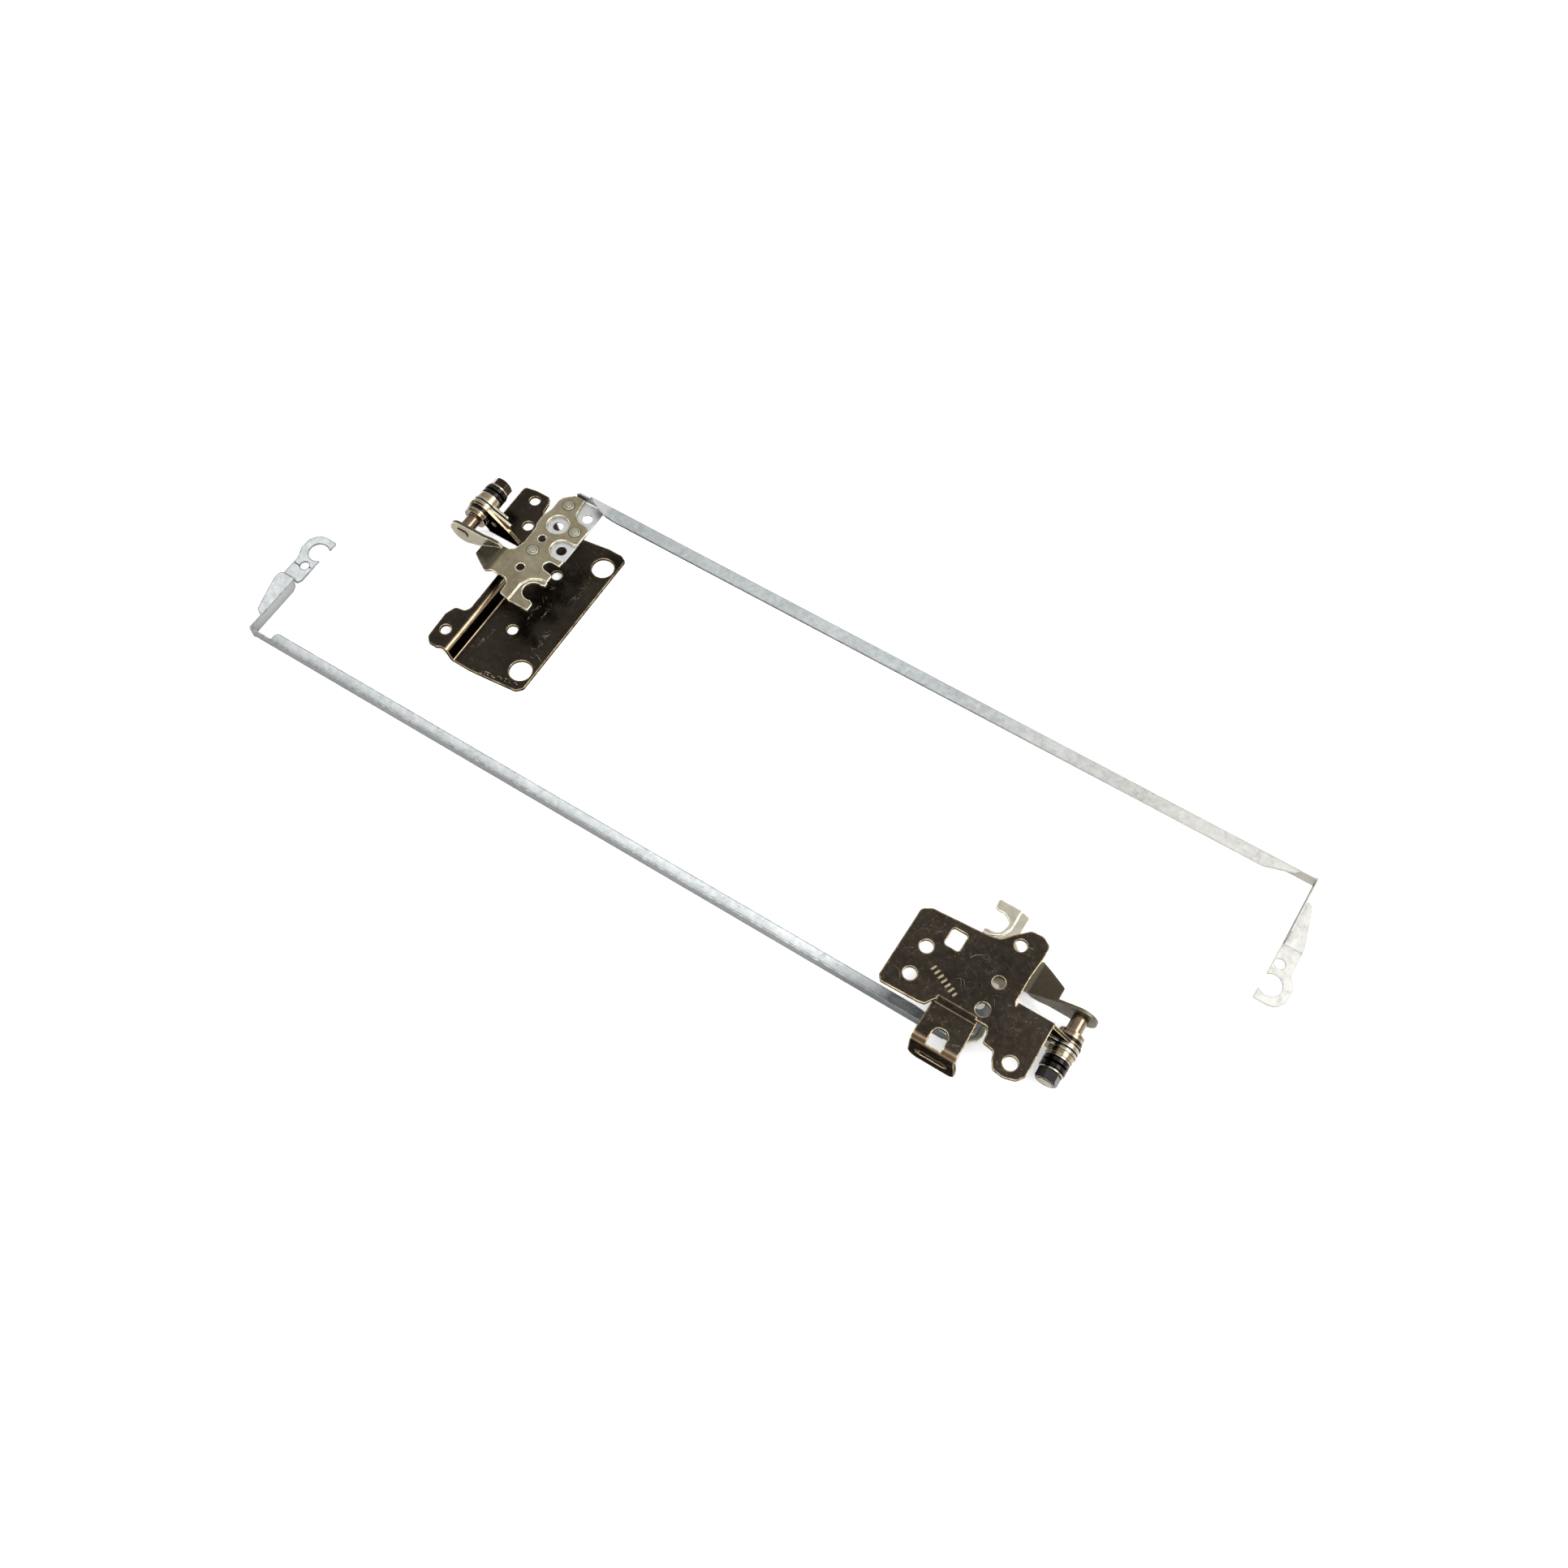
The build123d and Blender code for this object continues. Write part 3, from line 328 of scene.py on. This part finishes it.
# ---------------------------------------------------------------- finishes
finishes = {
    "right_base": sheet("black_nickel_right", (0.018, 0.0140, 0.0105), (0.046, 0.037, 0.028), (0.42, 0.33, 0.20),
                        (0.19, 0.31), (0.60, 0.003, 0.035, 0.95), bevel=0.34, scratch=0.20, speck=0.40, seed=3.0,
                        grain_depth=0.30, blotch_scale=0.045, rough_scratch=0.12, upright_shade=(0.008, 0.007, 0.006, 0.85),
                        graze=(0.10, 0.09, 0.08), bend_light=(0.34, 0.25, 0.155, 0.75)),
    "left_base": sheet("black_nickel_left", (0.019, 0.0150, 0.0115), (0.052, 0.042, 0.032), (0.56, 0.45, 0.28),
                       (0.19, 0.31), (0.60, 0.004, 0.035, 0.85), bevel=0.36, scratch=0.20, speck=0.45, seed=11.0,
                       turns=(35, 118, 160, 82), grain_depth=0.32, blotch_scale=0.06, rough_scratch=0.12,
                       upright_shade=(0.026, 0.0235, 0.0215, 0.85), graze=(0.36, 0.35, 0.34),
                       bend_light=(0.26, 0.175, 0.095, 0.60, 1, -40.5, -41.5)),
    # The two brackets are one nickel finish: the left copy has lighter colours, painted light.
    "right_bracket": sheet("dull_nickel_right", (0.185, 0.154, 0.095), (0.335, 0.293, 0.205), (0.92, 0.85, 0.68),
                           (0.20, 0.36), (0.58, 0.003, 0.032, 0.92), bevel=0.38, scratch=0.22, speck=0.35, seed=5.0,
                           grain_depth=0.25, blotch_scale=0.09, hollow_shade=(0.035, 0.030, 0.020),
                           upright_shade=(0.09, 0.08, 0.055, 0.45), extra=right_bracket_painted_shade),
    "left_bracket": sheet("dull_nickel_left_painted_light", (0.220, 0.202, 0.158), (0.385, 0.358, 0.290), (0.86, 0.82, 0.72),
                          (0.38, 0.52), (0.58, 0.003, 0.032, 0.92), bevel=0.38, scratch=0.22, speck=0.35, seed=9.0,
                          grain_depth=0.25, blotch_scale=0.09, hollow_shade=(0.035, 0.030, 0.020),
                          upright_shade=(0.09, 0.08, 0.055, 0.55), bend_light=(0.15, 0.135, 0.10, 0.75),
                          extra=left_bracket_painted_shade),
    "right_rivets": sheet("rivet_heads_right", (0.30, 0.28, 0.20), (0.44, 0.42, 0.33), (0.74, 0.72, 0.62),
                          (0.22, 0.36), (0.22, 0.02, 0.16, 0.8), bevel=0.14, scratch=0.15, speck=0.3, seed=15.0,
                          grain_depth=0.25, blotch_scale=0.3, upright_shade=(0.08, 0.07, 0.05, 0.6),
                          extra=rivet_rings("right")),
    "left_rivets": sheet("rivet_heads_left", (0.30, 0.28, 0.20), (0.44, 0.42, 0.33), (0.74, 0.72, 0.62),
                         (0.22, 0.36), (0.22, 0.02, 0.16, 0.8), bevel=0.14, scratch=0.15, speck=0.3, seed=17.0,
                         grain_depth=0.25, blotch_scale=0.3, upright_shade=(0.08, 0.07, 0.05, 0.6),
                         extra=rivet_rings("left")),
    # The two rails are one zinc finish: the right copy has darker colours, painted shade, and the left copy lighter
    # ones, painted light.
    "right_rail": sheet("zinc_right_painted_shade", (0.39, 0.415, 0.425), (0.52, 0.545, 0.545), (0.10, 0.098, 0.095), (0.30, 0.42),
                        (0.55, 0.002, 0.020, 0.92), bevel=0.22, scratch=0.12, speck=0.12, seed=2.0, spangle=0.09,
                        pits=0.45, turns=(27, 100), grain_depth=0.35, blotch_scale=0.03,
                        hollow_shade=(0.10, 0.105, 0.11), hollow_shade_reach=3.0, hollow_shade_span=(0.15, 0.70),
                        upright_shade=(0.035, 0.034, 0.034, 0.92), graze=(0.20, 0.20, 0.20), least=0.6,
                        extra=right_rail_tones),
    "left_rail": sheet("zinc_left_painted_light", (0.62, 0.655, 0.665), (0.76, 0.790, 0.795), (0.10, 0.10, 0.10), (0.30, 0.42),
                       (0.55, 0.002, 0.020, 0.92), bevel=0.22, scratch=0.14, speck=0.12, seed=13.0, spangle=0.09,
                       pits=0.35, turns=(27, 100), grain_depth=0.35, blotch_scale=0.03,
                       hollow_shade=(0.07, 0.075, 0.08), hollow_shade_reach=9.0, hollow_shade_span=(0.25, 0.92),
                       upright_shade=(0.24, 0.245, 0.24, 0.80), graze=(0.40, 0.40, 0.40), least=0.5, extra=ink_and_plate_shade),
    "shaft": sheet("turned_steel", (0.10, 0.072, 0.046), (0.25, 0.19, 0.13), (0.62, 0.54, 0.42), (0.14, 0.26),
                   (0.22, 0.02, 0.2, 0.7), bevel=0.12, scratch=0.15, speck=0.2, seed=4.0, turns=(0,),
                   grain=(1.0, 7.0, 1.0), grain_depth=0.2, hollow_shade=(0.014, 0.011, 0.009), hollow_shade_reach=0.7, hollow_shade_span=(0.3, 1.0)),
    "bronze": sheet("bronze_washer", (0.15, 0.115, 0.065), (0.36, 0.29, 0.19), (0.74, 0.64, 0.45), (0.16, 0.30),
                    (0.26, 0.02, 0.2, 0.8), bevel=0.14, scratch=0.2, speck=0.25, seed=6.0, turns=(20, 70),
                    grain_depth=0.25, hollow_shade=(0.014, 0.011, 0.009), hollow_shade_reach=0.7, hollow_shade_span=(0.3, 1.0)),
    "washer": sheet("pressed_steel", (0.18, 0.155, 0.110), (0.38, 0.345, 0.270), (0.76, 0.72, 0.60), (0.18, 0.32),
                    (0.26, 0.02, 0.2, 0.8), bevel=0.14, scratch=0.25, speck=0.25, seed=8.0, turns=(20, 70),
                    grain_depth=0.25, hollow_shade=(0.014, 0.011, 0.009), hollow_shade_reach=0.7, hollow_shade_span=(0.3, 1.0)),
    "black": sheet("black_oxide", (0.006, 0.0055, 0.006), (0.020, 0.017, 0.016), (0.26, 0.22, 0.18), (0.10, 0.20),
                   (0.20, 0.03, 0.25, 0.5), bevel=0.12, scratch=0.10, speck=0.15, seed=1.0, turns=(15, 75),
                   grain_depth=0.18),
    "right_nut": sheet("oiled_nut_right", (0.016, 0.011, 0.008), (0.048, 0.032, 0.022), (0.34, 0.26, 0.18),
                       (0.10, 0.20), (0.24, 0.03, 0.22, 0.6), bevel=0.16, scratch=0.10, speck=0.15, seed=19.0,
                       turns=(15, 75), grain_depth=0.18),
    "left_nut": sheet("oiled_nut_left", (0.005, 0.0045, 0.005), (0.014, 0.012, 0.012), (0.30, 0.27, 0.24),
                      (0.10, 0.20), (0.24, 0.03, 0.22, 0.6), bevel=0.16, scratch=0.10, speck=0.15, seed=20.0,
                      turns=(15, 75), grain_depth=0.18),
}

by_part = {
    "shaft": "shaft", "thrust_washer": "bronze", "pressure_cam": "bronze", "keyed_washer": "black",
    "friction_plate_inner": "washer", "friction_disc": "black", "friction_plate_outer": "washer",
    "spacer_washer": "washer", "disc_springs": "black", "end_washer": "washer",
}


def finish_of(name):
    side, part = name.split("_", 1)
    if part == "base_plate":
        return finishes[side + "_base"]
    if part == "lid_bracket":
        return finishes[side + "_bracket"]
    if part == "rail_rivets":
        return finishes[side + "_rivets"]
    if part == "lock_nut":
        return finishes[side + "_nut"]
    if part == "side_rail":
        return finishes[side + "_rail"]
    return finishes[by_part[part]]


for name, node in nodes.items():
    slots = node.material_slots
    if not slots:
        node.data.materials.append(finish_of(name))
    for material_slot in slots:
        material_slot.material = finish_of(name)


# ---------------------------------------------------------------- worn marks on the base plates
def scratch_piece(name, strokes, top, body, material):
    """Shallow scored strokes as thin tapered ridges. Each stroke is (points, width) in millimetres on the plane z = top."""
    bm = bmesh.new()
    for points, width in strokes:
        path = [Vector((x, y, 0)) for x, y in points]
        rows = []
        count = len(path)
        for i, p in enumerate(path):
            ahead = path[min(i + 1, count - 1)] - path[max(i - 1, 0)]
            side = Vector((-ahead.y, ahead.x, 0)).normalized()
            share = i / (count - 1)
            half = width / 2 * (0.25 + 0.75 * math.sin(math.pi * min(max(share, 0.06), 0.94)))
            rows.append([
                bm.verts.new(((p - side * half) + Vector((0, 0, top - 0.02))) * MM),
                bm.verts.new((p + Vector((0, 0, top + 0.018))) * MM),
                bm.verts.new(((p + side * half) + Vector((0, 0, top - 0.02))) * MM),
            ])
        for a, b in zip(rows, rows[1:]):
            for k in range(3):
                bm.faces.new((a[k], a[(k + 1) % 3], b[(k + 1) % 3], b[k]))
        bm.faces.new(rows[0])
        bm.faces.new(list(reversed(rows[-1])))
    bmesh.ops.recalc_face_normals(bm, faces=bm.faces)
    mesh = bpy.data.meshes.new(name)
    bm.to_mesh(mesh)
    bm.free()
    piece = bpy.data.objects.new(name, mesh)
    bpy.context.scene.collection.objects.link(piece)
    mesh.materials.append(material)
    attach(piece, body)
    return piece


def smooth_path(points, steps=5):
    out = []
    for i in range(len(points) - 1):
        p0, p1 = points[max(i - 1, 0)], points[i]
        p2, p3 = points[i + 1], points[min(i + 2, len(points) - 1)]
        for k in range(steps):
            t = k / steps
            out.append(tuple(0.5 * (2 * p1[j] + (p2[j] - p0[j]) * t + (2 * p0[j] - 5 * p1[j] + 4 * p2[j] - p3[j]) * t * t
                                    + (3 * p1[j] - p0[j] - 3 * p2[j] + p3[j]) * t ** 3) for j in range(2)))
    out.append(points[-1])
    return out


def inside(point, fence):
    """True when the point is inside the polygon."""
    hit = False
    for (ax, ay), (bx, by) in zip(fence, fence[1:] + fence[:1]):
        if (ay > point.y) != (by > point.y) and point.x < (bx - ax) * (point.y - ay) / (by - ay) + ax:
            hit = not hit
    return hit


def scuffs(seed, a, b, spread, count, length, width, lean=None, fence=None):
    """Short random strokes strewn along the line from a to b."""
    rng = random.Random(seed)
    a, b = Vector((*a, 0)), Vector((*b, 0))
    along = (b - a).normalized()
    across = Vector((-along.y, along.x, 0))
    out = []
    while len(out) < count:
        mid = a.lerp(b, rng.random()) + across * rng.uniform(-spread, spread)
        angle = rng.uniform(0, math.pi) if lean is None else math.radians(lean + rng.uniform(-14, 14))
        half = rng.uniform(*length) / 2
        step = Vector((math.cos(angle), math.sin(angle), 0)) * half
        bend = Vector((-step.y, step.x, 0)) * rng.uniform(-0.25, 0.25)
        pts = [mid - step, mid + bend, mid + step]
        if fence is not None and not all(inside(p, fence) for p in pts):
            continue
        out.append((smooth_path([(p.x, p.y) for p in pts], 3), rng.uniform(*width)))
    return out


burr_dull = sheet("scored_dull", (0.16, 0.135, 0.095), (0.26, 0.22, 0.16), (0.50, 0.42, 0.30), (0.30, 0.42),
                  (0.05, 0.03, 0.3, 0.3), bevel=0.02, scratch=0.1, speck=0.1, turns=(30,))
burr_bright = sheet("scored_bright", (0.42, 0.34, 0.21), (0.60, 0.50, 0.33), (0.70, 0.60, 0.42), (0.28, 0.40),
                    (0.05, 0.03, 0.3, 0.3), bevel=0.02, scratch=0.1, speck=0.1, turns=(30,))

top_right, top_left = 1.0, 15.1
strokes = []
for seed, a, b, spread, count in ((21, (-73.3, 19.2), (-73.2, 28.6), 0.7, 16), (22, (-80.3, 7.5), (-81.0, 21.0), 0.6, 14),
                                  (23, (-78.2, 9.8), (-78.0, 15.2), 0.7, 8), (24, (-73.1, -0.3), (-72.9, 8.0), 0.7, 15),
                                  (25, (-88.5, -8.6), (-87.0, 0.0), 0.7, 13)):
    strokes += scuffs(seed, a, b, spread, count, (0.8, 2.2), (0.08, 0.14))
strokes += [(smooth_path([(-72.4, -0.6), (-70.99, -0.93), (-69.12, -1.96)]), 0.22),
            (smooth_path([(-73.1, -1.9), (-72.3, -2.2), (-71.6, -1.9)]), 0.16)]
scratch_piece("right_base_scuffs", strokes, top_right, "base", burr_dull)
strokes = scuffs(31, (-82.0, -13.4), (-70.0, -11.2), 0.6, 26, (0.25, 0.8), (0.12, 0.22), lean=10)
scratch_piece("right_base_edge_scuffs", strokes, top_right, "base", burr_bright)

strokes = []
rng = random.Random(5)
row_a, row_b = Vector((71.4, -27.6)), Vector((79.2, -31.0))
for k in range(7):
    mid = row_a.lerp(row_b, k / 6)
    lean = Vector((0.42, 0.91)).normalized() * rng.uniform(0.75, 1.0)
    for shift in (-0.16, 0.16):
        side = Vector((0.91, -0.42)) * shift
        p, q = mid - lean + side, mid + lean + side
        strokes.append((smooth_path([tuple(p), tuple((p + q) / 2), tuple(q)], 3), 0.30))
scratch_piece("left_base_tally_marks", strokes, top_left, "base", burr_bright)
strokes = [(smooth_path([(77.73, -20.83), (78.19, -19.79), (79.06, -18.86), (80.83, -17.89)]), 0.20),
           (smooth_path([(61.92, -32.7), (63.6, -32.4), (65.14, -33.45), (66.51, -36.2)]), 0.13),
           (smooth_path([(77.07, -27.25), (79.15, -26.45), (80.42, -27.9)]), 0.13),
           (smooth_path([(88.2, -10.5), (89.4, -10.3), (90.6, -10.4)]), 0.14),
           (smooth_path([(88.95, -11.3), (89.6, -10.4), (90.26, -9.5)]), 0.12)]
left_plate = [(62.5, -17.0), (62.5, -34.5), (74.0, -35.0), (89.5, -28.5), (91.5, -24.0), (91.8, -13.0), (90.0, -8.0),
              (86.0, -10.0), (82.0, -14.0), (76.0, -15.5)]
strokes += scuffs(41, (62.0, -24.0), (92.0, -20.0), 12.0, 30, (0.8, 3.4), (0.06, 0.10), fence=left_plate)
scratch_piece("left_base_scratches", strokes, top_left, "base", burr_dull)


# ---------------------------------------------------------------- floor, light and camera
def stage_floor():
    bm = bmesh.new()
    half = 3.0
    z = -0.0001
    corners = [bm.verts.new((x, y, z)) for x, y in ((-half, -half), (half, -half), (half, half), (-half, half))]
    bm.faces.new(corners)
    mesh = bpy.data.meshes.new("floor")
    bm.to_mesh(mesh)
    bm.free()
    floor = bpy.data.objects.new("floor", mesh)
    bpy.context.scene.collection.objects.link(floor)
    g = Graph("white_table")
    tone = g.noise(g.mm((1, 1, 1)), 0.02, 3.0, 0.5)
    g.put(g.shader.inputs["Base Color"], g.blend(tone, (0.90, 0.90, 0.895), (0.93, 0.93, 0.93)))
    g.shader.inputs["Roughness"].default_value = 0.75
    g.shader.inputs["Specular IOR Level"].default_value = 0.2
    # painted light: the floor glows faintly through its emission, so shadows on it stay faint
    g.shader.inputs["Emission Color"].default_value = (1, 1, 1, 1)
    g.shader.inputs["Emission Strength"].default_value = 0.25
    mesh.materials.append(g.material)


stage_floor()

CAM_AT = Vector((0.1144615, -0.1645745, 0.3981624))
CAM_X = Vector((0.847991, 0.530004, -0.002717))
CAM_Y = Vector((-0.473877, 0.760465, 0.443998))
CAM_Z = Vector((0.237387, -0.375219, 0.896024))


def area_light(name, at, target, size, radiance, colour=(1, 1, 1)):
    data = bpy.data.lights.new(name, "AREA")
    data.shape = "RECTANGLE"
    data.size, data.size_y = size
    data.energy = radiance * math.pi * size[0] * size[1]
    data.color = colour
    light = bpy.data.objects.new(name, data)
    light.location = at
    light.rotation_euler = (Vector(target) - Vector(at)).to_track_quat("-Z", "Y").to_euler()
    bpy.context.scene.collection.objects.link(light)
    return light


right = Vector((0.848, 0.530, 0))
ahead = Vector((-0.530, 0.848, 0))
up = Vector((0, 0, 1))
area_light("overhead_softbox", up * 1.25 - ahead * 0.30 - right * 0.19, (0, 0, 0), (1.1, 0.85), 4.0)
area_light("side_softbox", up * 1.05 + right * 0.99 - ahead * 0.04, (0, 0, 0), (0.85, 0.65), 8.0)
area_light("left_softbox", up * 0.7 - right * 1.2 + ahead * 0.3, (0, 0, 0), (0.3, 0.5), 9.0)

world = bpy.data.worlds.new("studio")
bpy.context.scene.world = world
world.use_nodes = True
tree = world.node_tree
tree.nodes.clear()
out = tree.nodes.new("ShaderNodeOutputWorld")
sky = tree.nodes.new("ShaderNodeBackground")
tree.links.new(sky.outputs[0], out.inputs[0])
coord = tree.nodes.new("ShaderNodeTexCoord")
side = tree.nodes.new("ShaderNodeVectorMath")
side.operation = "DOT_PRODUCT"
tree.links.new(coord.outputs["Generated"], side.inputs[0])
side.inputs[1].default_value = right
gradient = tree.nodes.new("ShaderNodeValToRGB")
spread = tree.nodes.new("ShaderNodeMapRange")
spread.inputs["From Min"].default_value = -1.0
spread.inputs["From Max"].default_value = 1.0
tree.links.new(side.outputs["Value"], spread.inputs["Value"])
tree.links.new(spread.outputs[0], gradient.inputs[0])
stops = [(0.0, 0.45), (0.35, 0.85), (0.44, 0.92), (0.53, 1.0), (0.60, 1.10), (0.66, 1.15), (0.74, 1.20), (1.0, 1.0)]
ramp = gradient.color_ramp
while len(ramp.elements) < len(stops):
    ramp.elements.new(0.5)
for element, (at, value) in zip(ramp.elements, stops):
    element.position = at
    element.color = (value, value, value, 1)
tree.links.new(gradient.outputs[0], sky.inputs["Color"])
sky.inputs["Strength"].default_value = 1.0

camera_data = bpy.data.cameras.new("camera")
camera_data.sensor_fit = "HORIZONTAL"
camera_data.sensor_width = 36.0
camera_data.lens = 2012.59 / 1932 * 36.0
camera_data.clip_start = 0.01
camera_data.clip_end = 20.0
camera = bpy.data.objects.new("camera", camera_data)
camera.matrix_world = Matrix((
    (CAM_X.x, CAM_Y.x, CAM_Z.x, CAM_AT.x),
    (CAM_X.y, CAM_Y.y, CAM_Z.y, CAM_AT.y),
    (CAM_X.z, CAM_Y.z, CAM_Z.z, CAM_AT.z),
    (0, 0, 0, 1)))
bpy.context.scene.collection.objects.link(camera)
bpy.context.scene.camera = camera
bpy.context.scene.view_settings.view_transform = "Standard"
